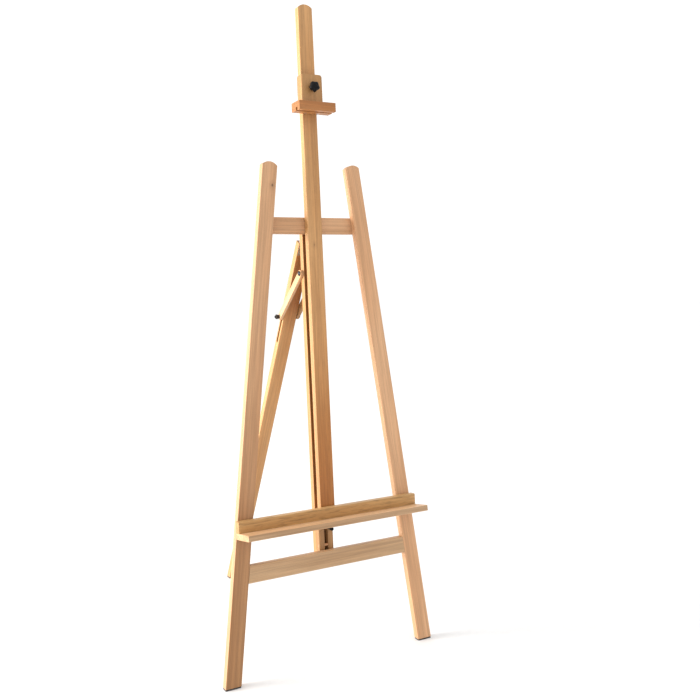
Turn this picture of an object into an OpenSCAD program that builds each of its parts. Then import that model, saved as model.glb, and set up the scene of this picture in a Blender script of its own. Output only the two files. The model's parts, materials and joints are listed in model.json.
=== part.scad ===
// Wooden artist easel: two splayed front legs, a sliding mast that carries the tray,
// a canvas clamp on the mast, and a hinged rear leg held open by a folding strut.
// Frame coordinates: x across, y from the front face of the legs backwards, z up along the lean.

/* [Stance] */
// Lean of the front frame, degrees back from upright
lean = 5.4; // [4:0.1:7]
// Splay of each front leg, degrees from the middle
splay = 7.1; // [6.5:0.1:7.6]
// Half the distance between the front legs at the floor, centre to centre
foot_half = 284.5; // [275:0.5:295]
// Opening of the rear leg, degrees from the back post
leg_open = 31; // [28:0.5:33]

/* [Timber] */
// Width of the legs, the mast and the post
stock_w = 42; // [40:1:44]
// Thickness of the legs
leg_t = 20; // [19:0.5:22]
// Height of both crossbars
rail_h = 44; // [42:1:48]
// Thickness of the upper crossbar
upper_rail_t = 16; // [16:0.5:18]
// Thickness of the lower crossbar
lower_rail_t = 18; // [17:0.5:18]
// Thickness of the mast
mast_t = 19; // [18:0.5:19]
// Thickness of the back post
post_t = 18; // [18:0.5:20]
// Width of the rear leg
rear_w = 40; // [38:0.5:41]
// Radius of the eased long edges
ease = 1.6; // [1:0.1:2]

/* [Heights along the frame] */
// Top of the front legs
leg_top = 1314; // [1280:1:1340]
// Underside of the lower crossbar
lower_rail_z = 250; // [240:1:255]
// Underside of the upper crossbar
upper_rail_z = 1129; // [1125:1:1140]
// Lower end of the mast
mast_foot_z = 380; // [379:1:382]
// Top of the mast
mast_top_z = 1737; // [1700:1:1780]
// Axis of the bolt that clamps the mast
clamp_bolt_z = 357; // [356:0.5:358]

/* [Tray] */
// Length of the tray
tray_l = 520; // [460:1:560]
// Depth of the ledge, front to back
ledge_d = 80; // [70:1:90]
// Thickness of the ledge
ledge_t = 15; // [12:0.5:16]
// Upward tilt of the ledge towards its front, degrees
ledge_tilt = 6.5; // [0:0.5:8]
// Height where the ledge meets the legs
ledge_z = 380; // [379:0.5:384]
// Thickness of the back board
board_t = 20; // [16:0.5:22]
// Top of the back board
board_top_z = 410.5; // [408:0.5:430]

/* [Canvas clamp] */
// Underside of the canvas bar
bar_z = 1444; // [1436:1:1462]
// Length of the canvas bar
bar_l = 106; // [90:1:120]
// Depth of the canvas bar
bar_d = 46; // [42:1:48]
// Height of the canvas bar
bar_h = 24; // [22:1:26]
// Width of the front plate
plate_w = 60; // [58:1:66]
// Height of the front plate above the bar
plate_h = 78; // [72:1:84]

/* [Hidden] */
$fn = 48;

// Colours
beech = "#D8AE84";
beech_pale = "#E2BC94";
beech_warm = "#C99A68";
steel = "#B8BABC";
dark_steel = "#3A3A3C";
brass = "#C8A24A";
black_plastic = "#151517";
rubber_black = "#24211F";

// How far the upper crossbar's ends reach past the middle of each leg
upper_rail_over = 9.5;

// Gaps
slip = 0.5;          // between wood that slides on wood
face_gap = 0.3;      // between flat faces of pieces that turn
pin_play = 0.06;     // radial play of a turning pin
far = 2000;          // longer than the whole easel

// Frame depths, from the front face of the legs
mast_y = slip;
rail_y = leg_t;
post_y = rail_y + upper_rail_t;
post_back = post_y + post_t;
runner_y = mast_y + mast_t;
runner_back = post_y - slip;

// Top arch of the legs and the mast
arch_r = 28;
arch_rise = arch_r - sqrt(arch_r * arch_r - stock_w * stock_w / 4);

// Slot of the back post and the stop below it
slot_w = 9;
slot_low = 348;
slot_high = 980;
guide_high = 1060;
guide_d = 5.6;
spacer_slot_low = 270;
spacer_slot_w = 11;
runner_w = 26;
groove_w = 19;
groove_d = 6;
spacer_top = 347;
stop_dowel_z = 305;
stop_dowel_r = 4;

// Foot pads
pad_t = 4;
pad_inset = 0.6;

// Wood screws: shank radius, head radius, head height
screw_r = 2.2;
screw_head_r = 4.4;
screw_head_h = 2.8;
screw_room = 0.05;

// Hinge of the rear leg
hinge_y = post_back + 2.6;
hinge_z = 1112;
hinge_w = 36;
leaf_t = 1.4;
leaf_l = 40;
knuckle_r = 2.5;
hinge_pin_r = 1.5;
leg_front = -1.0;                       // front face of the rear leg, measured from the hinge
rear_t = leg_t;
rear_mid = leg_front + rear_t / 2;

// Strut: upper pivot in the post, lower bolt in the slot of the rear leg
strut_l = 180;
strut_w = 18;
strut_t = 8;
strut_x = stock_w / 2 + 0.6;            // inner face of each cheek
strut_y = post_y + post_t / 2;
strut_z = 1026;
bolt_r = 3;
leg_slot_w = 8.6;
leg_slot_below = 80;

// Where the lower strut bolt meets the middle line of the rear leg
line_y = hinge_y + rear_mid * cos(leg_open) - strut_y;
line_z = hinge_z + rear_mid * sin(leg_open) - strut_z;
along = line_y * sin(leg_open) - line_z * cos(leg_open);
bolt_t = -along + sqrt(along * along - line_y * line_y - line_z * line_z + strut_l * strut_l);
bolt_y = strut_y + line_y + bolt_t * sin(leg_open);
bolt_z = strut_z + line_z - bolt_t * cos(leg_open);
strut_open = atan2(bolt_y - strut_y, strut_z - bolt_z);

// Clamp on the mast: a block with lips beside the mast, and a steel saddle behind it
clamp_slip = 0.4;
plate_y = -0.7;
plate_t = 18;
lip_y = 7;
saddle_t = 2;
saddle_h = 40;
saddle_in = stock_w / 2 + clamp_slip;
saddle_back = mast_y + mast_t + clamp_slip;
lip_in = saddle_in + saddle_t + 0.2;
stud_z = bar_z + 66;
insert_r = 5;

// Depth of the whole easel at the floor, to centre it on the origin
back_angle = leg_open - lean;
hinge_world_y = hinge_z * sin(lean) + hinge_y * cos(lean);
hinge_world_z = hinge_z * cos(lean) - hinge_y * sin(lean);
rear_reach = hinge_world_y + hinge_world_z * tan(back_angle)
    + (leg_front + rear_t - pad_inset) / cos(back_angle);
nose_y = -slip - (ledge_d - ease) * cos(ledge_tilt) - (ledge_t - ease) * sin(ledge_tilt);
nose_z = ledge_z + (ledge_d - ease) * sin(ledge_tilt) - (ledge_t - ease) * cos(ledge_tilt);
front_reach = nose_z * sin(lean) + nose_y * cos(lean) - ease;
centre_y = (rear_reach + front_reach) / 2;

// ---- Placing ----

module on_frame() {
    translate([0, -centre_y, 0])
        rotate([-lean, 0, 0])
            children();
}

module on_front_leg(side) {
    on_frame()
        translate([side * foot_half, 0, 0])
            rotate([0, -side * splay, 0])
                children();
}

module on_rear_leg() {
    on_frame()
        translate([0, hinge_y, hinge_z])
            rotate([leg_open, 0, 0])
                children();
}

module on_strut() {
    on_frame()
        translate([0, strut_y, strut_z])
            rotate([strut_open, 0, 0])
                children();
}

module on_ledge() {
    on_frame()
        translate([0, -slip, ledge_z])
            rotate([-ledge_tilt, 0, 0])
                children();
}

// Above the floor pads
module above_pads() {
    translate([-far / 2, -far / 2, pad_t])
        cube([far, far, far]);
}

// The slab that the pads fill
module pad_slab() {
    translate([-far / 2, -far / 2, 0])
        cube([far, far, pad_t]);
}

// ---- Shapes ----

// Rectangle with round corners, its lower left corner at the origin
module eased_rect(w, h, r) {
    translate([r, 0]) square([w - 2 * r, h]);
    translate([0, r]) square([w, h - 2 * r]);
    for (x = [r, w - r], y = [r, h - r])
        translate([x, y]) circle(r);
}

// Board standing on z = 0, centred on x, with y from 0 to its thickness
module upright(w, t, l, r = ease) {
    translate([-w / 2, 0, 0])
        linear_extrude(l)
            eased_rect(w, t, r);
}

// Board lying along x, centred on it, with y from 0 and z from 0
module lying(l, t, h, r = ease) {
    translate([-l / 2, 0, 0])
        rotate([90, 0, 90])
            linear_extrude(l)
                eased_rect(t, h, r);
}

// Outline with an arched top, extruded through the thickness t
module arched_blank(w, low, top, t) {
    translate([0, t, 0])
        rotate([90, 0, 0])
            linear_extrude(t) {
                translate([-w / 2, low]) square([w, top - arch_rise - low]);
                intersection() {
                    translate([0, top - arch_r]) circle(arch_r, $fn = 96);
                    translate([-w / 2, top - 2 * arch_rise]) square([w, 3 * arch_rise]);
                }
            }
}

// Upright board with eased long edges and an arched top
module arched_board(w, t, low, top) {
    intersection() {
        translate([0, 0, low]) upright(w, t, top - low);
        arched_blank(w, low, top, t);
    }
}

// Cylinder along x, centred on x
module rod_x(r, l) {
    rotate([0, 90, 0])
        cylinder(h = l, r = r, center = true);
}

// Cylinder along y, from y = 0 towards +y
module rod_y(r, l) {
    rotate([-90, 0, 0])
        cylinder(h = l, r = r);
}

// Vertical slot through y, with round ends
module slot_y(w, low, high, y, depth) {
    translate([-w / 2, y, low + w / 2])
        cube([w, depth, high - low - w]);
    for (z = [low + w / 2, high - w / 2])
        translate([0, y, z])
            rod_y(w / 2, depth);
}

// Countersunk screw: its head is flush with z = 0 and it points along -z
module screw(l, r = screw_r, head_r = screw_head_r, head_h = screw_head_h) {
    difference() {
        union() {
            translate([0, 0, -head_h])
                cylinder(h = head_h, r1 = r, r2 = head_r);
            translate([0, 0, -l + 2 * r])
                cylinder(h = l - 2 * r - head_h / 2, r = r);
            translate([0, 0, -l])
                cylinder(h = 2 * r, r1 = 0.2, r2 = r);
        }
        for (turn = [0, 90])
            rotate([0, 0, turn])
                translate([-head_r / 2, -0.45, -1.3])
                    cube([head_r, 0.9, 2]);
    }
}

// Room for that screw in the wood
module screw_hole(l, r = screw_r, head_r = screw_head_r, head_h = screw_head_h) {
    translate([0, 0, -head_h])
        cylinder(h = head_h, r1 = r + screw_room, r2 = head_r + screw_room);
    translate([0, 0, -0.01])
        cylinder(h = 1, r = head_r + screw_room);
    translate([0, 0, -l - 0.3])
        cylinder(h = l, r = r + screw_room);
}

// ---- Where the screws go ----

// Upper crossbar to each leg, from behind
module at_crossbar_screws() {
    for (side = [-1, 1], z = [upper_rail_z + 12, upper_rail_z + rail_h - 12])
        on_frame()
            translate([side * (foot_half - z * tan(splay)), post_y, z])
                rotate([-90, 0, 0])
                    children();
}

// Upper crossbar to the post, from the front
module at_upper_post_screws() {
    for (x = [-12, 12])
        on_frame()
            translate([x, rail_y, upper_rail_z + rail_h / 2])
                rotate([90, 0, 0])
                    children();
}

// Post and spacer to the lower crossbar, from behind
module at_lower_post_screws() {
    for (x = [-12, 12])
        on_frame()
            translate([x, post_back, lower_rail_z + 8])
                rotate([-90, 0, 0])
                    children();
}

// Mast to the back board, from behind the mast
module at_tray_screws() {
    for (x = [-15, 15])
        on_frame()
            translate([x, runner_y, 397])
                rotate([-90, 0, 0])
                    children();
}

// Runner to the mast, from behind the runner
module at_runner_screws() {
    for (side = [-1, 1], step = [0, 1])
        on_frame()
            translate([side * 7, runner_back, 388 + 44 * step])
                rotate([-90, 0, 0])
                    children();
}

// Ledge to the back board, from below
module at_ledge_screws() {
    for (i = [-2:2])
        on_ledge()
            translate([i * tray_l * 0.22, -board_t / 2, -ledge_t])
                rotate([180, 0, 0])
                    children();
}

// Canvas bar to the plate, from below
module at_bar_screws() {
    for (x = [-18, 18])
        on_frame()
            translate([x, plate_y - plate_t / 2, bar_z])
                rotate([180, 0, 0])
                    children();
}

// Saddle's ears to the block, from behind
module at_saddle_screws() {
    for (side = [-1, 1], z = [stud_z - 12, stud_z + 12])
        on_frame()
            translate([side * 26.4, lip_y + saddle_t, z])
                rotate([-90, 0, 0])
                    children();
}

// Hinge leaf on the post, from behind
module at_hinge_post_screws() {
    for (x = [-11, 11], z = [14, 32])
        on_frame()
            translate([x, post_back + leaf_t, hinge_z + z])
                rotate([-90, 0, 0])
                    children();
}

// Hinge leaf on the rear leg, from the front
module at_hinge_leg_screws() {
    for (x = [-11, 11], z = [14, 32])
        on_rear_leg()
            translate([x, leg_front - leaf_t, -z])
                rotate([90, 0, 0])
                    children();
}

crossbar_screw_l = 32;
upper_post_screw_l = 30;
lower_post_screw_l = 48;
tray_screw_l = 34;
runner_screw_l = 30;
ledge_screw_l = 32;
bar_screw_l = 50;
saddle_screw_l = 20;
hinge_screw_l = 14;
small_r = 1.5;
small_head_r = 2.9;
small_head_h = 1.4;

// ---- Fixed frame ----

module front_leg_prism(side, inset) {
    on_front_leg(side)
        translate([0, inset, -80])
            upright(stock_w - 2 * inset, leg_t - 2 * inset, 400);
}

module front_leg(side) {
    difference() {
        intersection() {
            on_front_leg(side)
                arched_board(stock_w, leg_t, -80, leg_top / cos(splay));
            above_pads();
        }
        at_crossbar_screws() screw_hole(crossbar_screw_l);
        dowel_set(0.05);
    }
}

module left_leg() {
    color(beech) front_leg(-1);
}

module right_leg() {
    color(beech) front_leg(1);
}

// Outline between or across the splayed legs, widened by grow on each side
module rail_cut(z, h, grow, y, t) {
    low_x = foot_half - z * tan(splay) + grow;
    high_x = foot_half - (z + h) * tan(splay) + grow;
    translate([0, y + t, 0])
        rotate([90, 0, 0])
            linear_extrude(t)
                polygon([[-low_x, z], [low_x, z], [high_x, z + h], [-high_x, z + h]]);
}

module upper_crossbar() {
    color(beech_warm)
        difference() {
            on_frame()
                intersection() {
                    translate([0, rail_y, upper_rail_z])
                        lying(400, upper_rail_t, rail_h);
                    rail_cut(upper_rail_z, rail_h, upper_rail_over, rail_y, upper_rail_t);
                }
            at_crossbar_screws() screw_hole(crossbar_screw_l);
            at_upper_post_screws() screw_hole(upper_post_screw_l);
        }
}

module lower_crossbar() {
    color(beech_pale)
        difference() {
            on_frame()
                intersection() {
                    translate([0, 0, lower_rail_z])
                        lying(600, lower_rail_t, rail_h);
                    rail_cut(lower_rail_z, rail_h, -stock_w / 2 / cos(splay) - 0.05, 0, lower_rail_t);
                }
            at_lower_post_screws() screw_hole(lower_post_screw_l);
            dowel_set(0.05);
        }
}

// Two dowels in each end of the lower crossbar
module dowel_set(room) {
    for (side = [-1, 1], z = [lower_rail_z + 12, lower_rail_z + rail_h - 12])
        on_frame()
            translate([side * (foot_half - z * tan(splay) - stock_w / 2), lower_rail_t / 2, z])
                rod_x(4 + room, 46 + 2 * room);
}

module crossbar_dowels() {
    color(beech_pale) dowel_set(0);
}

module crossbar_screws() {
    color(steel) at_crossbar_screws() screw(crossbar_screw_l);
}

module back_post() {
    color(beech_warm)
        difference() {
            on_frame()
                difference() {
                    translate([0, post_y, lower_rail_z])
                        upright(stock_w, post_t, upper_rail_z + rail_h - lower_rail_z);
                    slot_y(slot_w, slot_low, slot_high, post_y - 1, post_t + 2);
                    slot_y(slot_w, slot_low, guide_high, post_y - 1, guide_d + 1);
                    slot_y(groove_w, slot_low - 7, slot_high + 5, post_back - groove_d, groove_d + 1);
                    translate([0, strut_y, strut_z])
                        rod_x(bolt_r + 0.02, stock_w + 2);
                }
            at_upper_post_screws() screw_hole(upper_post_screw_l);
            at_lower_post_screws() screw_hole(lower_post_screw_l);
            at_hinge_post_screws() screw_hole(hinge_screw_l, small_r, small_head_r, small_head_h);
        }
}

// Packing between the lower crossbar and the post, with the slot carried on through it
module post_spacer() {
    color(beech_warm)
        difference() {
            on_frame()
                difference() {
                    translate([0, lower_rail_t, lower_rail_z])
                        upright(stock_w, post_y - lower_rail_t, spacer_top - lower_rail_z);
                    slot_y(spacer_slot_w, spacer_slot_low, spacer_top + 20, lower_rail_t - 1, post_y);
                    translate([0, lower_rail_t + 6, stop_dowel_z])
                        rod_x(stop_dowel_r, stock_w + 2);
                }
            at_lower_post_screws() screw_hole(lower_post_screw_l);
        }
}

module slot_stop_dowel() {
    color(beech_pale)
        on_frame()
            translate([0, lower_rail_t + 6, stop_dowel_z])
                rod_x(stop_dowel_r - 0.02, stock_w);
}

module post_screws() {
    color(steel) {
        at_upper_post_screws() screw(upper_post_screw_l);
        at_lower_post_screws() screw(lower_post_screw_l);
    }
}

module front_foot_pads() {
    color(rubber_black)
        for (side = [-1, 1])
            intersection() {
                front_leg_prism(side, pad_inset);
                pad_slab();
            }
}

// ---- Hinge of the rear leg ----

// Knuckles of one leaf, as [centre, length] along x
post_knuckles = [[-14.4, 7], [0, 7], [14.4, 7]];
leg_knuckles = [[-7.2, 7], [7.2, 7]];

module knuckles(list) {
    for (k = list)
        translate([k[0], 0, 0])
            difference() {
                rod_x(knuckle_r, k[1]);
                rod_x(hinge_pin_r + pin_play, k[1] + 1);
            }
}

module hinge_post_leaf() {
    color(steel)
        difference() {
            on_frame() {
                translate([0, hinge_y, hinge_z]) knuckles(post_knuckles);
                for (k = post_knuckles)
                    translate([k[0] - k[1] / 2, post_back, hinge_z + 1.6])
                        cube([k[1], leaf_t, 4.4]);
                translate([-hinge_w / 2, post_back, hinge_z + 4])
                    cube([hinge_w, leaf_t, leaf_l - 4]);
            }
            at_hinge_post_screws() screw_hole(hinge_screw_l, small_r, small_head_r, small_head_h);
        }
}

module hinge_leg_leaf() {
    color(steel)
        difference() {
            on_rear_leg() {
                knuckles(leg_knuckles);
                for (k = leg_knuckles)
                    translate([k[0] - k[1] / 2, leg_front - leaf_t, -6])
                        cube([k[1], leaf_t, 4.4]);
                translate([-hinge_w / 2, leg_front - leaf_t, -leaf_l])
                    cube([hinge_w, leaf_t, leaf_l - 4]);
            }
            at_hinge_leg_screws() screw_hole(hinge_screw_l, small_r, small_head_r, small_head_h);
        }
}

module hinge_pin() {
    color(steel)
        on_frame()
            translate([0, hinge_y, hinge_z]) {
                rod_x(hinge_pin_r, hinge_w + 2);
                for (side = [-1, 1])
                    translate([side * (hinge_w / 2 + 1.4), 0, 0])
                        rod_x(2.2, 1.2);
            }
}

module hinge_post_screws() {
    color(steel)
        at_hinge_post_screws() screw(hinge_screw_l, small_r, small_head_r, small_head_h);
}

module hinge_leg_screws() {
    color(steel)
        at_hinge_leg_screws() screw(hinge_screw_l, small_r, small_head_r, small_head_h);
}

// ---- Rear leg ----

module rear_leg() {
    slot_top = bolt_t - 4 - leg_slot_w / 2;
    slot_low_end = bolt_t + leg_slot_below;
    color(beech_warm)
        difference() {
            intersection() {
                on_rear_leg()
                    translate([0, leg_front, -far])
                        upright(rear_w, rear_t, far - 5);
                above_pads();
            }
            on_rear_leg()
                translate([0, rear_mid, 0]) {
                    translate([-rear_w, -leg_slot_w / 2, -slot_low_end])
                        cube([2 * rear_w, leg_slot_w, slot_low_end - slot_top]);
                    for (z = [slot_top, slot_low_end])
                        translate([0, 0, -z])
                            rod_x(leg_slot_w / 2, 2 * rear_w);
                }
            at_hinge_leg_screws() screw_hole(hinge_screw_l, small_r, small_head_r, small_head_h);
        }
}

module rear_foot_pad() {
    color(rubber_black)
        intersection() {
            on_rear_leg()
                translate([0, leg_front + pad_inset, -far])
                    upright(rear_w - 2 * pad_inset, rear_t - 2 * pad_inset, far - 400);
            pad_slab();
        }
}

// ---- Strut ----

module strut_cheek(side) {
    low = side > 0 ? strut_x : -strut_x - strut_t;
    color(beech_pale)
        on_strut()
            translate([low, 0, 0])
                rotate([90, 0, 90])
                    linear_extrude(strut_t)
                        difference() {
                            union() {
                                translate([-strut_w / 2, -strut_l]) square([strut_w, strut_l]);
                                for (y = [0, -strut_l])
                                    translate([0, y]) circle(strut_w / 2);
                            }
                            for (y = [0, -strut_l])
                                translate([0, y]) circle(bolt_r + (y == 0 ? pin_play : 0.02));
                        }
}

module strut_left_cheek() {
    strut_cheek(-1);
}

module strut_right_cheek() {
    strut_cheek(1);
}

// Bolt along x with a dome head on the side -side
module cross_bolt(side, reach, head_x) {
    mirror([side > 0 ? 0 : 1, 0, 0]) {
        translate([-head_x, 0, 0])
            rotate([0, 90, 0])
                cylinder(h = head_x + reach, r = bolt_r);
        intersection() {
            translate([-head_x + 5.5, 0, 0])
                sphere(10, $fn = 64);
            translate([-head_x - 4.5, 0, 0])
                rotate([0, 90, 0])
                    cylinder(h = 4.5, r = 6.5);
        }
    }
}

strut_out = strut_x + strut_t;

module strut_pivot_bolt() {
    color(dark_steel)
        on_frame()
            translate([0, strut_y, strut_z])
                cross_bolt(1, strut_out + 8, strut_out + face_gap);
}

module hex_nut(af, h, bore_r) {
    rotate([0, 90, 0])
        difference() {
            cylinder(h = h, r = af / 2 / cos(30), $fn = 6);
            translate([0, 0, -1])
                cylinder(h = h + 2, r = bore_r);
        }
}

module strut_pivot_nut() {
    color(dark_steel)
        on_frame()
            translate([strut_out + face_gap, strut_y, strut_z])
                hex_nut(10, 5.5, bolt_r + 0.02);
}

module strut_lock_bolt() {
    color(dark_steel)
        on_strut()
            translate([0, 0, -strut_l])
                cross_bolt(-1, strut_out + 13, strut_out + 1.2);
}

// Washers: one inside each cheek against the rear leg, one outside each cheek
module strut_washers() {
    inner_l = strut_x - rear_w / 2 - face_gap;
    color(steel)
        on_strut()
            translate([0, 0, -strut_l])
                for (x = [-strut_out - 0.6, strut_out + 0.6,
                          -strut_x + inner_l / 2, strut_x - inner_l / 2])
                    translate([x, 0, 0])
                        difference() {
                            rod_x(7, abs(x) > strut_out ? 1.2 : inner_l);
                            rod_x(bolt_r + 0.02, 10);
                        }
}

// Fluted thumb nut on the left end of the lock bolt
module strut_thumb_nut() {
    color(black_plastic)
        on_strut()
            translate([-strut_out - 1.5, 0, -strut_l])
                rotate([0, -90, 0])
                    difference() {
                        union() {
                            cylinder(h = 3, r = 5.2);
                            translate([0, 0, 2.5])
                                cylinder(h = 6.5, r = 6.5);
                        }
                        translate([0, 0, -1])
                            cylinder(h = 12, r = bolt_r + pin_play);
                        for (i = [0:7])
                            rotate([0, 0, i * 45])
                                translate([7.6, 0, 2])
                                    cylinder(h = 8, r = 1.8);
                    }
}

// ---- Mast and tray ----

module mast() {
    color(beech)
        difference() {
            on_frame()
                translate([0, mast_y, 0])
                    arched_board(stock_w, mast_t, mast_foot_z, mast_top_z);
            at_tray_screws() screw_hole(tray_screw_l);
            at_runner_screws() screw_hole(runner_screw_l);
        }
}

// Block behind the foot of the mast; its tongue runs in the slot of the post
module mast_runner() {
    tongue_low = 398;
    runner_l = 92;
    color(beech_warm)
        difference() {
            on_frame()
                difference() {
                    union() {
                        translate([0, runner_y, spacer_top + slip])
                            upright(runner_w, runner_back - runner_y, runner_l, 1);
                        translate([-slot_w / 2 + 0.3, runner_back - 1, tongue_low])
                            cube([slot_w - 0.6, 6, 26]);
                    }
                    translate([0, 0, clamp_bolt_z])
                        rod_y(bolt_r + 0.02, 60);
                }
            at_runner_screws() screw_hole(runner_screw_l);
        }
}

module runner_screws() {
    color(steel) at_runner_screws() screw(runner_screw_l);
}

module tray_back_board() {
    color(beech_warm)
        difference() {
            on_frame()
                intersection() {
                    translate([0, -slip - board_t, ledge_z - 10])
                        lying(tray_l, board_t, board_top_z - ledge_z + 10);
                    translate([0, -slip, ledge_z])
                        rotate([-ledge_tilt, 0, 0])
                            translate([-tray_l, -ledge_d, 0])
                                cube([2 * tray_l, 2 * ledge_d, ledge_d]);
                }
            at_tray_screws() screw_hole(tray_screw_l);
            at_ledge_screws() screw_hole(ledge_screw_l);
        }
}

module tray_ledge() {
    color(beech_pale)
        difference() {
            on_ledge()
                translate([0, -ledge_d, -ledge_t])
                    lying(tray_l, ledge_d, ledge_t);
            at_ledge_screws() screw_hole(ledge_screw_l);
        }
}

module tray_screws() {
    color(steel) at_tray_screws() screw(tray_screw_l);
}

module ledge_screws() {
    color(steel) at_ledge_screws() screw(ledge_screw_l);
}

// Bolt whose flat head slides in the groove behind the post
module mast_clamp_bolt() {
    head_y = post_back - groove_d + face_gap;
    color(dark_steel)
        on_frame()
            translate([0, 0, clamp_bolt_z]) {
                translate([0, 7, 0])
                    rod_y(bolt_r, head_y - 6);
                translate([-8.5, head_y, -8.5])
                    cube([17, 4, 17]);
            }
}

module mast_clamp_washer() {
    color(steel)
        on_frame()
            translate([0, runner_y - 1.5, clamp_bolt_z])
                difference() {
                    rod_y(8, 1.5);
                    translate([0, -1, 0])
                        rod_y(bolt_r + 0.02, 4);
                }
}

// Wing knob in front of the runner, under the foot of the mast
module mast_clamp_knob() {
    wing_reach = 17;
    wing_r = 4.5;
    hub_y = runner_y - 1.5 - face_gap;
    color(black_plastic)
        on_frame()
            translate([0, hub_y, clamp_bolt_z])
                rotate([90, 0, 0])
                    difference() {
                        union() {
                            cylinder(h = 14, r = 7.5);
                            rotate([0, 0, -38])
                                translate([0, 0, 3]) {
                                    translate([-wing_reach, -wing_r, 0])
                                        cube([2 * wing_reach, 2 * wing_r, 9]);
                                    for (side = [-1, 1])
                                        translate([side * wing_reach, 0, 0])
                                            cylinder(h = 9, r = wing_r);
                                }
                        }
                        translate([0, 0, -1])
                            cylinder(h = 12.6, r = bolt_r + pin_play);
                    }
}

// ---- Canvas clamp ----

// Front outline of the block, with round upper corners
module plate_outline(w, corner_r) {
    translate([-w / 2, 0])
        square([w, plate_h - corner_r]);
    translate([-w / 2 + corner_r, 0])
        square([w - 2 * corner_r, plate_h]);
    for (side = [-1, 1])
        translate([side * (w / 2 - corner_r), plate_h - corner_r])
            circle(corner_r);
}

module clamp_block() {
    color(beech_warm)
        difference() {
            on_frame()
                translate([0, 0, bar_z + bar_h])
                    difference() {
                        translate([0, lip_y, 0])
                            rotate([90, 0, 0])
                                linear_extrude(lip_y - plate_y + plate_t)
                                    plate_outline(plate_w, 7);
                        translate([-lip_in, plate_y, -1])
                            cube([2 * lip_in, lip_y + 2, plate_h + 2]);
                        translate([0, plate_y - plate_t - 1, stud_z - bar_z - bar_h])
                            rod_y(insert_r + 0.02, plate_t + 2);
                    }
            at_bar_screws() screw_hole(bar_screw_l);
            at_saddle_screws() screw_hole(saddle_screw_l, small_r, small_head_r, small_head_h);
        }
}

// Bar that holds the top edge of a canvas, with a groove along its underside
module canvas_bar() {
    groove_w = 9;
    color(beech_warm)
        difference() {
            on_frame()
                difference() {
                    translate([0, plate_y - bar_d, bar_z])
                        lying(bar_l, bar_d, bar_h);
                    translate([-bar_l, plate_y - bar_d / 2 - 10, bar_z - 1])
                        cube([2 * bar_l, groove_w, 10]);
                }
            at_bar_screws() screw_hole(bar_screw_l);
        }
}

// Steel strap behind the mast, its ears screwed to the block's lips
module clamp_saddle() {
    back_y = saddle_back + saddle_t;
    out = saddle_in + saddle_t;
    color(steel)
        difference() {
            on_frame()
                translate([0, 0, stud_z - saddle_h / 2])
                    linear_extrude(saddle_h) {
                        for (side = [-1, 1]) {
                            translate([side > 0 ? saddle_in : -out, lip_y])
                                square([saddle_t, back_y - 2 - lip_y]);
                            translate([side > 0 ? saddle_in : -plate_w / 2 + 0.5, lip_y])
                                square([plate_w / 2 - 0.5 - saddle_in, saddle_t]);
                            translate([side * (out - 2), back_y - 2])
                                intersection() {
                                    circle(2);
                                    translate([side > 0 ? 0 : -2, 0]) square(2);
                                }
                        }
                        translate([-out + 2, saddle_back])
                            square([2 * out - 4, saddle_t]);
                    }
            at_saddle_screws() screw_hole(saddle_screw_l, small_r, small_head_r, small_head_h);
        }
}

module saddle_screws() {
    color(steel)
        at_saddle_screws() screw(saddle_screw_l, small_r, small_head_r, small_head_h);
}

module bar_screws() {
    color(steel) at_bar_screws() screw(bar_screw_l);
}

// Threaded insert in the plate
module clamp_insert() {
    color(brass)
        on_frame()
            translate([0, plate_y - plate_t - 0.6, stud_z])
                difference() {
                    union() {
                        rod_y(insert_r, 14);
                        rod_y(insert_r + 1.5, 0.6);
                    }
                    translate([0, -1, 0])
                        rod_y(bolt_r + pin_play, 20);
                }
}

// Knob with five lobes, its crown domed
module top_clamp_knob() {
    lobe_r = 5;
    lobe_reach = 9.6;
    hub_l = 9;
    head_h = 13;
    knob_y = plate_y - plate_t - 1.2;
    color(black_plastic)
        on_frame()
            translate([0, knob_y, stud_z])
                rotate([90, 0, 0])
                    difference() {
                        union() {
                            cylinder(h = hub_l + 1, r = 7);
                            intersection() {
                                translate([0, 0, hub_l])
                                    linear_extrude(head_h) {
                                        circle(10.4);
                                        for (i = [0:4])
                                            rotate(i * 72 - 90)
                                                translate([lobe_reach, 0])
                                                    circle(lobe_r);
                                    }
                                translate([0, 0, hub_l + head_h - 34])
                                    sphere(34, $fn = 96);
                            }
                        }
                        translate([0, 0, -1])
                            cylinder(h = 16, r = bolt_r + 0.02);
                    }
}

// Stud of the knob; its tip bears on the front of the mast
module top_clamp_stud() {
    tip_y = mast_y - 0.2;
    knob_y = plate_y - plate_t - 1.2;
    color(steel)
        on_frame()
            translate([0, tip_y, stud_z])
                rotate([90, 0, 0])
                    cylinder(h = tip_y - knob_y + 14, r = bolt_r);
}

left_leg();
right_leg();
upper_crossbar();
lower_crossbar();
back_post();
post_spacer();
slot_stop_dowel();
crossbar_dowels();
crossbar_screws();
post_screws();
front_foot_pads();
hinge_post_leaf();
hinge_pin();
hinge_post_screws();
strut_pivot_bolt();
strut_pivot_nut();
mast();
mast_runner();
runner_screws();
tray_back_board();
tray_ledge();
tray_screws();
ledge_screws();
mast_clamp_bolt();
mast_clamp_washer();
mast_clamp_knob();
clamp_block();
canvas_bar();
clamp_saddle();
saddle_screws();
bar_screws();
clamp_insert();
top_clamp_knob();
top_clamp_stud();
rear_leg();
rear_foot_pad();
hinge_leg_leaf();
hinge_leg_screws();
strut_left_cheek();
strut_right_cheek();
strut_lock_bolt();
strut_washers();
strut_thumb_nut();
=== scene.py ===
import json
import math
import bpy
import bmesh
from mathutils import Matrix, Vector


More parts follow.
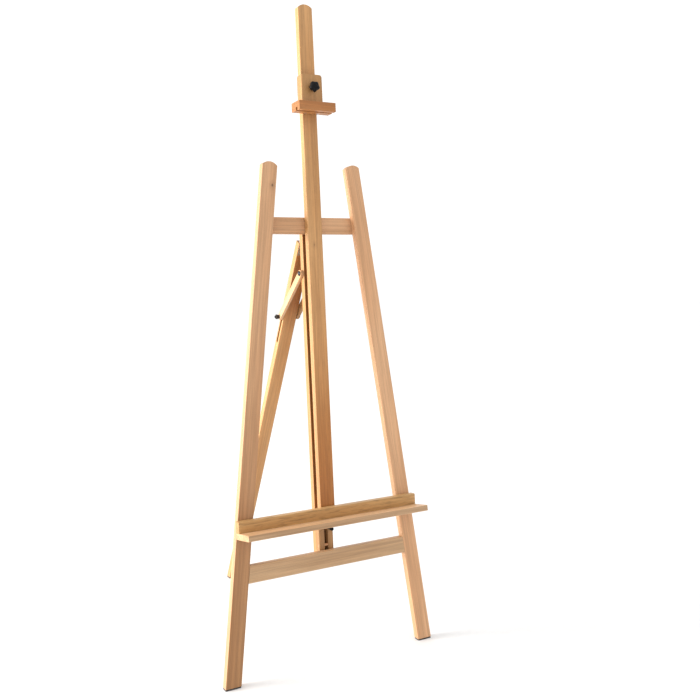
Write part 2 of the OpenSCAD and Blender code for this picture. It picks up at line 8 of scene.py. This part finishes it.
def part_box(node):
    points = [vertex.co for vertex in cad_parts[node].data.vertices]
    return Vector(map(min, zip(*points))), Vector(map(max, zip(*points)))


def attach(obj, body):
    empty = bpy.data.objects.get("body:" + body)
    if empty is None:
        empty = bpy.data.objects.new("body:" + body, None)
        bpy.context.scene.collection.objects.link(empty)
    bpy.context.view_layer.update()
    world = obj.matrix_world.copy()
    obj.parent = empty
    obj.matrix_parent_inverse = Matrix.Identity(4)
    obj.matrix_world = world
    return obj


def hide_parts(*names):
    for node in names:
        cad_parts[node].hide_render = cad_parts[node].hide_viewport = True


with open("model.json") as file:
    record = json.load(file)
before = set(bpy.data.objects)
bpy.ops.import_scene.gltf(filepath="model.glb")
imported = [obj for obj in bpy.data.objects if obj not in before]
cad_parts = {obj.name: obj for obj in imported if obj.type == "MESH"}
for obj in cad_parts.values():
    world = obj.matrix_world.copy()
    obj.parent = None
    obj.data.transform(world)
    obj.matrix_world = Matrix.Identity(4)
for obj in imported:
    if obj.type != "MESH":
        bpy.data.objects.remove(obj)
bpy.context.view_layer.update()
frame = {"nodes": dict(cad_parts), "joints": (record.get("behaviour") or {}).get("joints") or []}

nodes = frame["nodes"]
joints = {j["name"]: j for j in frame["joints"]}
mm = 0.001

# ---------------------------------------------------------------- directions
right = Vector((1, 0, 0))
up = Vector(joints["mast_slide"]["axis"]).normalized()
front = Vector(joints["top_knob_turn"]["axis"]).normalized()
splay = math.radians(7.1)


def middle(name):
    lo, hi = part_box(name)
    return (lo + hi) / 2


hinge = Vector(joints["rear_leg_fold"]["pos_m"])
rear_foot = middle("rear_foot_pad")
rear_up = Vector((0, hinge.y - rear_foot.y, hinge.z - rear_foot.z)).normalized()
strut_up = (Vector(joints["strut_fold"]["pos_m"]) - Vector(joints["strut_nut_turn"]["pos_m"]))
strut_up = Vector((0, strut_up.y, strut_up.z)).normalized()


# ---------------------------------------------------------------- node helpers
class Graph:
    """A small builder for one material's nodes."""

    def __init__(self, name):
        self.material = bpy.data.materials.new(name)
        self.material.use_nodes = True
        self.tree = self.material.node_tree
        self.tree.nodes.clear()
        self.out = self.tree.nodes.new("ShaderNodeOutputMaterial")
        self.shader = self.tree.nodes.new("ShaderNodeBsdfPrincipled")
        self.link(self.shader.outputs["BSDF"], self.out.inputs["Surface"])

    def link(self, a, b):
        self.tree.links.new(a, b)

    def feed(self, socket, value):
        if isinstance(value, bpy.types.NodeSocket):
            self.link(value, socket)
        elif value is not None:
            socket.default_value = value

    def set(self, **values):
        for name, value in values.items():
            self.feed(self.shader.inputs[name.replace("_", " ")], value)

    def math(self, op, a, b=None, c=None, clamp=False):
        n = self.tree.nodes.new("ShaderNodeMath")
        n.operation = op
        n.use_clamp = clamp
        for socket, value in zip(n.inputs, (a, b, c)):
            self.feed(socket, value)
        return n.outputs[0]

    def vector(self, op, a, b=None):
        n = self.tree.nodes.new("ShaderNodeVectorMath")
        n.operation = op
        self.feed(n.inputs[0], a)
        if b is not None:
            self.feed(n.inputs[1], b)
        return n.outputs["Value" if op in ("DOT_PRODUCT", "LENGTH", "DISTANCE") else "Vector"]

    def coordinates(self, output="Object"):
        return self.tree.nodes.new("ShaderNodeTexCoord").outputs[output]

    def combine(self, x, y, z):
        n = self.tree.nodes.new("ShaderNodeCombineXYZ")
        for socket, value in zip(n.inputs, (x, y, z)):
            self.feed(socket, value)
        return n.outputs[0]

    def noise(self, vector, scale=1.0, detail=2.0, roughness=0.5, distortion=0.0):
        n = self.tree.nodes.new("ShaderNodeTexNoise")
        self.feed(n.inputs["Vector"], vector)
        n.inputs["Scale"].default_value = scale
        n.inputs["Detail"].default_value = detail
        n.inputs["Roughness"].default_value = roughness
        n.inputs["Distortion"].default_value = distortion
        return n.outputs["Fac"]

    def voronoi(self, vector, scale=1.0, randomness=1.0):
        n = self.tree.nodes.new("ShaderNodeTexVoronoi")
        self.feed(n.inputs["Vector"], vector)
        n.inputs["Scale"].default_value = scale
        n.inputs["Randomness"].default_value = randomness
        return n.outputs["Distance"]

    def ramp(self, value, lo, hi, out_lo=0.0, out_hi=1.0, smooth=True):
        n = self.tree.nodes.new("ShaderNodeMapRange")
        n.interpolation_type = "SMOOTHSTEP" if smooth else "LINEAR"
        n.clamp = True
        for i, v in enumerate((value, lo, hi, out_lo, out_hi)):
            self.feed(n.inputs[i], v)
        return n.outputs[0]

    def mix(self, factor, a, b, blend="MIX"):
        n = self.tree.nodes.new("ShaderNodeMix")
        n.data_type = "RGBA"
        n.blend_type = blend
        self.feed(n.inputs[0], factor)
        self.feed(n.inputs[6], a if isinstance(a, bpy.types.NodeSocket) else (*a, 1.0))
        self.feed(n.inputs[7], b if isinstance(b, bpy.types.NodeSocket) else (*b, 1.0))
        return n.outputs[2]

    def shade(self, colour, value):
        """colour times a grey value"""
        n = self.tree.nodes.new("ShaderNodeVectorMath")
        n.operation = "SCALE"
        self.feed(n.inputs[0], colour)
        self.feed(n.inputs["Scale"], value)
        return n.outputs["Vector"]

    def bump(self, height, strength, distance, normal=None):
        n = self.tree.nodes.new("ShaderNodeBump")
        n.inputs["Strength"].default_value = strength
        n.inputs["Distance"].default_value = distance
        self.feed(n.inputs["Height"], height)
        if normal is not None:
            self.feed(n.inputs["Normal"], normal)
        return n.outputs["Normal"]


# ---------------------------------------------------------------- beech
def beech(name, centre, along, across, pale, deep, seed, heart, knots, front_shade_along, face, dashes):
    """Planed and oiled beech: rings about a heart outside the board, fibres along it, short dark flecks.
    knots are (place, size, how dark);
    the front tints (low tint, high tint, low, high) along the grain are painted shade, darker towards one
    end;
    face is (direction, tint), painted shade that darkens one face of its board;
    dashes is how dark its broken streaks are."""
    g = Graph(name)
    along = along.normalized()
    across = (across - along * across.dot(along)).normalized()
    third = along.cross(across)
    p = g.vector("SUBTRACT", g.coordinates(), tuple(centre))
    a = g.vector("DOT_PRODUCT", p, tuple(across))
    b = g.vector("DOT_PRODUCT", p, tuple(third))
    l = g.vector("DOT_PRODUCT", p, tuple(along))
    shift = g.math("ADD", l, seed * 3.7)

    # growth rings, drifting slowly along the board
    drift = g.noise(g.combine(seed * 1.3, seed * 0.7, shift), 2.1, 2.0)
    drift = g.math("MULTIPLY", g.math("SUBTRACT", drift, 0.5), 0.030)
    ra = g.math("ADD", g.math("ADD", a, heart[0]), drift)
    rb = g.math("ADD", b, heart[1])
    radius = g.math("SQRT", g.math("ADD", g.math("MULTIPLY", ra, ra), g.math("MULTIPLY", rb, rb)))
    wobble = g.noise(g.combine(g.math("MULTIPLY", a, 60.0), g.math("MULTIPLY", b, 60.0),
                               g.math("MULTIPLY", shift, 4.0)), 1.0, 2.0)
    turns = g.math("ADD", g.math("MULTIPLY", radius, 1 / 0.0031), g.math("MULTIPLY", wobble, 1.3))
    ring = g.math("FRACT", turns)
    late = g.ramp(ring, 0.55, 0.97)
    year = g.noise(g.combine(g.math("FLOOR", turns), seed * 2.0, 0.0), 0.9, 0.0)

    # streaks, fibres and flecks, all stretched along the grain
    streak = g.noise(g.combine(g.math("MULTIPLY", a, 190.0), g.math("MULTIPLY", b, 190.0),
                               g.math("MULTIPLY", shift, 5.0)), 1.0, 3.0, 0.6)
    fibre = g.noise(g.combine(g.math("MULTIPLY", a, 1100.0), g.math("MULTIPLY", b, 1100.0),
                              g.math("MULTIPLY", shift, 26.0)), 1.0, 3.0, 0.6)
    fleck = g.voronoi(g.combine(g.math("MULTIPLY", a, 900.0), g.math("MULTIPLY", b, 420.0),
                                g.math("MULTIPLY", shift, 190.0)), 1.0)
    fleck = g.ramp(fleck, 0.10, 0.26, 1.0, 0.0)
    broad = g.noise(g.combine(g.math("MULTIPLY", a, 22.0), g.math("MULTIPLY", b, 22.0),
                              g.math("MULTIPLY", shift, 2.3)), 1.0, 2.0)

    colour = g.mix(g.ramp(broad, 0.30, 0.70), pale, deep)
    # painted shade: the front faces darken towards one end along the grain
    if front_shade_along is not None:
        low_shade_tint, high_shade_tint, low, high = front_shade_along
        outward = g.ramp(g.vector("DOT_PRODUCT", g.coordinates("Normal"), tuple(front)), 0.40, 0.90)
        front_shaded = g.mix(1.0, colour, g.mix(g.ramp(l, low, high), low_shade_tint, high_shade_tint), "MULTIPLY")
        colour = g.mix(outward, colour, front_shaded)
    # painted shade: one face of the board is darkened
    if face is not None:
        outward = g.ramp(g.vector("DOT_PRODUCT", g.coordinates("Normal"), tuple(face[0])), 0.80, 0.96)
        colour = g.mix(1.0, colour, g.mix(outward, (1.0, 1.0, 1.0), face[1]), "MULTIPLY")
    tone = g.math("SUBTRACT", 1.035, g.math("MULTIPLY", late, 0.085))
    tone = g.math("MULTIPLY", tone, g.ramp(year, 0.3, 0.7, 0.975, 1.025))
    tone = g.math("MULTIPLY", tone, g.ramp(streak, 0.30, 0.70, 0.85, 1.10))
    tone = g.math("MULTIPLY", tone, g.ramp(fibre, 0.25, 0.75, 0.955, 1.035))
    tone = g.math("MULTIPLY", tone, g.math("SUBTRACT", 1.0, g.math("MULTIPLY", fleck, 0.20)))

    if dashes:
        dash = g.noise(g.combine(g.math("MULTIPLY", a, 210.0), g.math("MULTIPLY", b, 210.0),
                                 g.math("MULTIPLY", shift, 26.0)), 1.0, 2.0)
        tone = g.math("MULTIPLY", tone, g.ramp(dash, 0.50, 0.66, 1.0, 1.0 - dashes))

    # cut ends are darker, because they drink the oil
    end_on = g.math("ABSOLUTE", g.vector("DOT_PRODUCT", g.coordinates("Normal"), tuple(along)))
    cut = g.ramp(end_on, 0.55, 0.92)
    tone = g.math("MULTIPLY", tone, g.math("SUBTRACT", 1.0, g.math("MULTIPLY", cut, 0.20)))
    for spot, size, depth in knots:
        d = g.vector("SUBTRACT", g.coordinates(), tuple(spot))
        da = g.vector("DOT_PRODUCT", d, tuple(across))
        db = g.vector("DOT_PRODUCT", d, tuple(third))
        dl = g.math("MULTIPLY", g.vector("DOT_PRODUCT", d, tuple(along)), 0.62)
        far = g.vector("LENGTH", g.combine(da, db, dl))
        core = g.ramp(far, size * 0.35, size, 1.0, 0.0)
        halo = g.ramp(far, size * 0.8, size * 3.4, 1.0, 0.0)
        tone = g.math("MULTIPLY", tone, g.math("SUBTRACT", 1.0, g.math("MULTIPLY", core, depth)))
        tone = g.math("MULTIPLY", tone, g.math("SUBTRACT", 1.0, g.math("MULTIPLY", halo, 0.14)))
    colour = g.shade(colour, tone)
    warm = g.mix(g.math("MULTIPLY", late, 0.30), (1.0, 1.0, 1.0), (1.0, 0.93, 0.84))
    colour = g.mix(1.0, colour, warm, "MULTIPLY")

    rough = g.math("ADD", g.ramp(fibre, 0.2, 0.8, 0.40, 0.52), g.math("MULTIPLY", cut, 0.16))
    height = g.math("ADD", g.math("MULTIPLY", fibre, 0.7), g.math("MULTIPLY", late, -0.35))
    height = g.math("ADD", height, g.math("MULTIPLY", fleck, -0.5))
    g.set(Base_Color=colour, Roughness=rough, Specular_IOR_Level=0.35, Coat_Weight=0.06, Coat_Roughness=0.35,
          Normal=g.bump(height, 0.35, 0.00012))
    return g.material


# ---------------------------------------------------------------- metal, plastic, rubber
def zinc(name="zinc_plate"):
    g = Graph(name)
    p = g.coordinates()
    cloud = g.noise(p, 140.0, 3.0)
    grain = g.noise(p, 2600.0, 2.0)
    dull = g.ramp(g.noise(p, 420.0, 4.0, 0.65), 0.55, 0.75)
    colour = g.mix(g.ramp(cloud, 0.3, 0.7), (0.44, 0.44, 0.43), (0.53, 0.535, 0.54))
    colour = g.mix(g.math("MULTIPLY", dull, 0.45), colour, (0.31, 0.30, 0.285))
    rough = g.math("ADD", g.ramp(grain, 0.2, 0.8, 0.26, 0.40), g.math("MULTIPLY", dull, 0.15))
    g.set(Base_Color=colour, Metallic=1.0, Roughness=rough, Normal=g.bump(grain, 0.20, 0.00005))
    return g.material


def black_steel(name="blackened_steel"):
    g = Graph(name)
    p = g.coordinates()
    grain = g.noise(p, 1900.0, 3.0)
    worn = g.ramp(g.noise(p, 330.0, 5.0, 0.7), 0.60, 0.72)
    colour = g.mix(g.math("MULTIPLY", worn, 0.55), (0.030, 0.030, 0.033), (0.16, 0.155, 0.15))
    g.set(Base_Color=colour, Metallic=0.85, Roughness=g.ramp(grain, 0.2, 0.8, 0.34, 0.48),
          Normal=g.bump(grain, 0.22, 0.00006))
    return g.material


def turned_brass(name="turned_brass"):
    g = Graph(name)
    p = g.coordinates()
    lines = g.noise(g.vector("MULTIPLY", p, (300.0, 4200.0, 300.0)), 1.0, 2.0)
    tarnish = g.ramp(g.noise(p, 240.0, 4.0), 0.45, 0.75)
    colour = g.mix(g.math("MULTIPLY", tarnish, 0.5), (0.72, 0.50, 0.20), (0.42, 0.27, 0.10))
    g.set(Base_Color=colour, Metallic=1.0, Roughness=g.ramp(lines, 0.2, 0.8, 0.24, 0.40),
          Normal=g.bump(lines, 0.18, 0.00004))
    return g.material


def knob_plastic(name="moulded_plastic", dark=(0.006, 0.006, 0.0065), worn=(0.030, 0.029, 0.028)):
    g = Graph(name)
    p = g.coordinates()
    spark = g.noise(p, 3800.0, 2.0)
    rub = g.ramp(g.noise(p, 230.0, 4.0, 0.6), 0.50, 0.72)
    dust = g.ramp(g.noise(p, 900.0, 3.0, 0.7), 0.62, 0.80)
    colour = g.mix(g.math("MULTIPLY", dust, 0.35), dark, worn)
    rough = g.math("SUBTRACT", g.ramp(spark, 0.2, 0.8, 0.36, 0.50), g.math("MULTIPLY", rub, 0.12))
    g.set(Base_Color=colour, Roughness=rough, Specular_IOR_Level=0.12, Normal=g.bump(spark, 0.30, 0.00005))
    return g.material


def foot_rubber(name="foot_rubber"):
    g = Graph(name)
    p = g.coordinates()
    grain = g.noise(p, 1500.0, 3.0, 0.7)
    scuff = g.ramp(g.noise(p, 260.0, 4.0, 0.7), 0.48, 0.70)
    colour = g.mix(g.math("MULTIPLY", scuff, 0.6), (0.030, 0.027, 0.025), (0.095, 0.088, 0.080))
    g.set(Base_Color=colour, Roughness=g.ramp(grain, 0.2, 0.8, 0.72, 0.90),
          Normal=g.bump(grain, 0.45, 0.00012))
    return g.material


def dress(name, material):
    """Gives a CAD node's object this one material on all its faces."""
    o = nodes[name]
    o.data.materials.clear()
    o.data.materials.append(material)
    for face in o.data.polygons:
        face.material_index = 0


# ---------------------------------------------------------------- the timber
tan = (0.600, 0.350, 0.190)
tan_deep = (0.535, 0.290, 0.146)
fawn = (0.560, 0.326, 0.176)
fawn_deep = (0.497, 0.268, 0.134)
rose = (0.500, 0.322, 0.178)
rose_deep = (0.430, 0.262, 0.136)
straw = (0.530, 0.288, 0.118)
straw_deep = (0.455, 0.226, 0.082)
honey = (0.580, 0.355, 0.150)
honey_deep = (0.455, 0.250, 0.092)
amber = (0.440, 0.188, 0.062)
amber_deep = (0.370, 0.146, 0.042)
cream = (0.680, 0.430, 0.235)
cream_deep = (0.545, 0.310, 0.150)
sand = (0.445, 0.240, 0.094)
sand_deep = (0.370, 0.186, 0.066)
# painted shade: this darker brown stands in for the shade on the post spacer under the tray and on the right
# strut cheek
shadow_brown = (0.400, 0.215, 0.088)
shadow_brown_deep = (0.330, 0.165, 0.060)

left_up = (up * math.cos(splay) + right * math.sin(splay)).normalized()
right_up = (up * math.cos(splay) - right * math.sin(splay)).normalized()
leg_knot = middle("left_leg") + left_up * 0.597 + front * 0.010 + right * 0.011
mast_knot = middle("mast") + up * 0.040 + front * 0.010 - right * 0.004
even = (1.0, 1.0, 1.0)

# board: (grain, across, pale, deep, seed, heart)
timber = {
    "left_leg": (left_up, right, fawn, fawn_deep, 1.0, (0.06, 0.05)),
    "right_leg": (right_up, right, tan, tan_deep, 2.0, (-0.05, 0.07)),
    "upper_crossbar": (right, up, fawn, fawn_deep, 3.0, (0.05, 0.06)),
    "lower_crossbar": (right, up, rose, rose_deep, 4.0, (-0.07, 0.04)),
    "back_post": (up, right, straw, straw_deep, 5.0, (0.04, 0.09)),
    # painted shade: the spacer's darker brown stands in for the tray's shadow
    "post_spacer": (up, right, shadow_brown, shadow_brown_deep, 6.0, (0.06, 0.05)),
    "slot_stop_dowel": (right, up, tan, tan_deep, 7.0, (0.01, 0.02)),
    "crossbar_dowels": (right, up, tan, tan_deep, 7.5, (0.01, 0.02)),
    "mast": (up, right, straw, straw_deep, 8.0, (0.03, 0.06)),
    "mast_runner": (up, right, straw, straw_deep, 9.0, (-0.05, 0.04)),
    "tray_back_board": (right, up, honey, honey_deep, 10.0, (0.02, 0.05)),
    "tray_ledge": (right, front, cream, cream_deep, 11.0, (0.09, 0.03)),
    "clamp_block": (up, right, sand, sand_deep, 12.0, (0.04, 0.05)),
    "canvas_bar": (right, up, amber, amber_deep, 13.0, (0.05, 0.03)),
    "rear_leg": (rear_up, right, straw, straw_deep, 16.0, (0.05, 0.06)),
    "strut_left_cheek": (strut_up, front, cream, cream_deep, 17.0, (0.04, 0.05)),
    # painted shade: the right cheek's darker brown stands in for its shadow beside the rear leg
    "strut_right_cheek": (strut_up, front, shadow_brown, shadow_brown_deep, 18.0, (-0.05, 0.05)),
}
# a few boards: small knots, painted shade on the front that darkens along the grain, broken streaks, painted
# shade on one face
knots = {"left_leg": [(leg_knot, 0.0035, 0.62)], "mast": [(mast_knot, 0.0030, 0.30)]}
# painted shade: the left leg's and the mast's fronts darker towards their feet, the rear leg's front darker
# towards its top
front_shade_along = {
    "left_leg": ((0.62, 0.53, 0.40), even, -0.62, 0.30),
    "mast": ((0.80, 0.60, 0.38), even, -0.62, 0.10),
    "rear_leg": (even, (0.72, 0.56, 0.40), 0.30, 0.44),
}
dashes = {"tray_back_board": 0.26, "mast": 0.08, "canvas_bar": 0.08}
# painted shade: the fronts of the back post and the tray ledge are darkened
faces = {
    "back_post": (front, (0.46, 0.36, 0.24)),
    "tray_ledge": (front, (0.70, 0.73, 0.78)),
}
for name, (along, across, pale, deep, seed, heart) in timber.items():
    dress(name, beech("beech_" + name, middle(name), along, across, pale, deep, seed, heart,
                      knots.get(name, ()), front_shade_along.get(name), faces.get(name), dashes.get(name, 0.0)))

# ---------------------------------------------------------------- the hardware
steel = zinc()
dark = black_steel()
for name in ("crossbar_screws", "post_screws", "hinge_post_leaf", "hinge_pin", "hinge_post_screws",
             "runner_screws", "tray_screws", "ledge_screws", "mast_clamp_washer", "clamp_saddle",
             "saddle_screws", "bar_screws", "top_clamp_stud", "hinge_leg_leaf", "hinge_leg_screws",
             "strut_washers"):
    dress(name, steel)
for name in ("strut_pivot_bolt", "strut_pivot_nut", "mast_clamp_bolt", "strut_lock_bolt"):
    dress(name, dark)
dress("clamp_insert", turned_brass())
for name in ("front_foot_pads", "rear_foot_pad"):
    dress(name, foot_rubber())


# ---------------------------------------------------------------- the knobs
def knob(name, outline, levels, place, body, node, material, steps=240):
    """A moulded knob: outline(angle) is its radius, and each level is (height, share of the lobes, inset)."""
    mesh = bmesh.new()
    rings = []
    for height, lobes, inset in levels:
        ring = []
        for i in range(steps):
            t = 2 * math.pi * i / steps
            round_r, full_r = outline(t)
            r = round_r + (full_r - round_r) * lobes - inset
            ring.append(mesh.verts.new((r * math.cos(t), r * math.sin(t), height)))
        rings.append(ring)
    for low, high in zip(rings, rings[1:]):
        for i in range(steps):
            j = (i + 1) % steps
            mesh.faces.new((low[i], low[j], high[j], high[i]))
    mesh.faces.new(list(reversed(rings[0])))
    mesh.faces.new(rings[-1])
    mesh.transform(Matrix.Scale(mm, 4))
    data = bpy.data.meshes.new(name)
    mesh.to_mesh(data)
    mesh.free()
    for face in data.polygons:
        face.use_smooth = True
    o = bpy.data.objects.new(name, data)
    bpy.context.scene.collection.objects.link(o)
    o.matrix_world = place
    data.materials.append(material)
    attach(o, body)
    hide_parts(node)


def facing(position, axis):
    """Places a piece with its own z along axis."""
    return Matrix.Translation(position) @ axis.to_track_quat("Z", "Y").to_matrix().to_4x4()


def lobed(angle, middle_r, reach, lobe_r, count, turn):
    """Outline radius of a disc with a ring of round lobes."""
    r = middle_r
    for i in range(count):
        d = angle - turn - i * 2 * math.pi / count
        side = reach * math.sin(d)
        if math.cos(d) > 0 and abs(side) < lobe_r:
            r = max(r, reach * math.cos(d) + math.sqrt(lobe_r ** 2 - side ** 2))
    return r


def star(angle):
    """Five lobes, one of them straight down, with the hollows between them rounded out."""
    middle_r, reach, lobe_r, blur = 11.9, 9.6, 5.0, 0.05
    near = [lobed(angle + blur * k, middle_r, reach, lobe_r, 5, -math.pi / 2) for k in range(-4, 5)]
    return middle_r, sum(near) / len(near)


def wing(angle):
    """A round hub with two straight-sided wings."""
    hub_r, wing_r, reach = 7.5, 4.5, 17
    corner_reach = 17.6
    turn = math.radians(-38)
    c, s = abs(math.cos(angle - turn)), abs(math.sin(angle - turn))
    if s < wing_r / corner_reach:
        return hub_r, reach * c + math.sqrt(max(0.0, wing_r ** 2 - (reach * s) ** 2))
    return hub_r, max(hub_r, wing_r / s)


def fluted(angle):
    """A disc with eight shallow flutes."""
    hub_r, full_r, flute_reach, flute_r = 5.2, 6.5, 7.6, 1.8
    d = (angle + math.pi / 8) % (math.pi / 4) - math.pi / 8
    side = flute_reach * math.sin(d)
    r = full_r
    if abs(side) < flute_r:
        r = min(r, flute_reach * math.cos(d) - math.sqrt(flute_r ** 2 - side ** 2))
    return hub_r, r


# each level is (height, share of the lobes, inset), in mm from the foot of the hub to the crown
star_levels = [
    (0.0, 0.0, 4.5), (0.4, 0.0, 4.0), (1.6, 0.0, 4.0), (2.0, 0.0, 4.5), (6.6, 0.0, 4.9),
    (7.8, 0.0, 4.2), (8.7, 0.0, 2.6), (9.1, 0.5, 1.4), (9.6, 1.0, 0.7), (10.4, 1.0, 0.15),
    (11.2, 1.0, 0.0), (15.2, 1.0, 0.0), (16.6, 1.0, 0.2), (17.8, 1.0, 0.8), (18.9, 1.0, 1.8),
    (19.8, 0.9, 3.1), (20.5, 0.7, 4.4), (20.9, 0.4, 5.4), (21.1, 0.1, 5.9), (20.8, 0.0, 6.1),
    (20.5, 0.0, 6.3), (20.8, 0.0, 6.5), (21.3, 0.0, 6.8), (21.6, 0.0, 8.2), (21.75, 0.0, 9.8)]
wing_levels = [
    (0.0, 0.0, 0.6), (0.4, 0.0, 0.15), (0.9, 0.0, 0.0), (2.6, 0.0, 0.0), (3.0, 0.25, 0.4),
    (3.2, 0.9, 0.9), (3.7, 1.0, 0.3), (4.4, 1.0, 0.0), (10.3, 1.0, 0.0), (11.2, 1.0, 0.25),
    (11.8, 1.0, 0.8), (12.0, 0.9, 1.6), (12.1, 0.2, 0.6), (12.6, 0.0, 0.2), (13.4, 0.0, 0.3),
    (13.8, 0.0, 0.8), (13.9, 0.0, 2.0), (13.5, 0.0, 2.6), (13.5, 0.0, 5.5)]
nut_levels = [
    (0.0, 0.0, 0.5), (0.3, 0.0, 0.1), (0.8, 0.0, 0.0), (2.4, 0.0, 0.0), (2.6, 0.5, 0.4),
    (3.0, 1.0, 0.5), (3.6, 1.0, 0.1), (4.2, 1.0, 0.0), (7.8, 1.0, 0.0), (8.5, 1.0, 0.3),
    (8.9, 0.9, 1.0), (9.0, 0.0, 1.6), (8.6, 0.0, 2.4), (8.5, 0.0, 3.0)]
wing_half_depth = 7 * mm
nut_half_depth = 4.5 * mm

plastic = knob_plastic()
knob("star_knob", star, star_levels, facing(Vector(joints["top_knob_turn"]["pos_m"]), front),
     "top_knob", "top_clamp_knob", plastic)
knob("wing_knob", wing, wing_levels, facing(middle("mast_clamp_knob") - front * wing_half_depth, front),
     "mast_knob", "mast_clamp_knob", plastic)
knob("thumb_nut", fluted, nut_levels, facing(middle("strut_thumb_nut") + right * nut_half_depth, -right),
     "strut_nut", "strut_thumb_nut",
     knob_plastic("worn_plastic", (0.040, 0.032, 0.026), (0.085, 0.070, 0.056)))

# ---------------------------------------------------------------- light, floor, camera
world = bpy.data.worlds.new("studio")
world.use_nodes = True
world.node_tree.nodes["Background"].inputs["Color"].default_value = (1.0, 1.0, 1.0, 1.0)
world.node_tree.nodes["Background"].inputs["Strength"].default_value = 1.13
bpy.context.scene.world = world


def area_light(name, position, target, size, power, colour):
    lamp = bpy.data.lights.new(name, "AREA")
    lamp.shape = "RECTANGLE"
    lamp.size, lamp.size_y = size
    lamp.energy = power
    lamp.color = colour
    o = bpy.data.objects.new(name, lamp)
    o.location = position
    o.rotation_euler = (Vector(target) - Vector(position)).to_track_quat("-Z", "Y").to_euler()
    bpy.context.scene.collection.objects.link(o)


area_light("key", (-4.6, 0.9, 1.35), (0, -0.1, 0.80), (2.2, 2.8), 430, (1.0, 0.985, 0.96))

floor_data = bpy.data.meshes.new("floor")
floor_data.from_pydata([(-14, -10, 0), (14, -10, 0), (14, 26, 0), (-14, 26, 0)], [], [(0, 1, 2, 3)])
floor = bpy.data.objects.new("floor", floor_data)
bpy.context.scene.collection.objects.link(floor)
g = Graph("pale_floor")
# painted shade: the paper is a shade greyer near the easel, so that the feet's shadows show
speck = g.noise(g.coordinates(), 60.0, 3.0)
paper = g.mix(g.ramp(speck, 0.3, 0.7), (0.890, 0.890, 0.890), (0.910, 0.910, 0.910))
near = g.ramp(g.vector("LENGTH", g.coordinates()), 1.0, 4.0, 0.885, 1.0)
g.set(Base_Color=g.shade(paper, near), Roughness=0.85, Specular_IOR_Level=0.1)
floor_data.materials.append(g.material)

camera_data = bpy.data.cameras.new("camera")
camera_data.sensor_width = 36
camera_data.lens = 45.33
camera_data.shift_x = 0.0015
camera_data.shift_y = -0.0646
camera = bpy.data.objects.new("camera", camera_data)
camera.location = (-1.0748, -2.2991, 1.0921)
camera.rotation_euler = (math.radians(90 - 3.857), 0, math.radians(-29.574))
bpy.context.scene.collection.objects.link(camera)
bpy.context.scene.camera = camera
bpy.context.scene.view_settings.view_transform = "Standard"
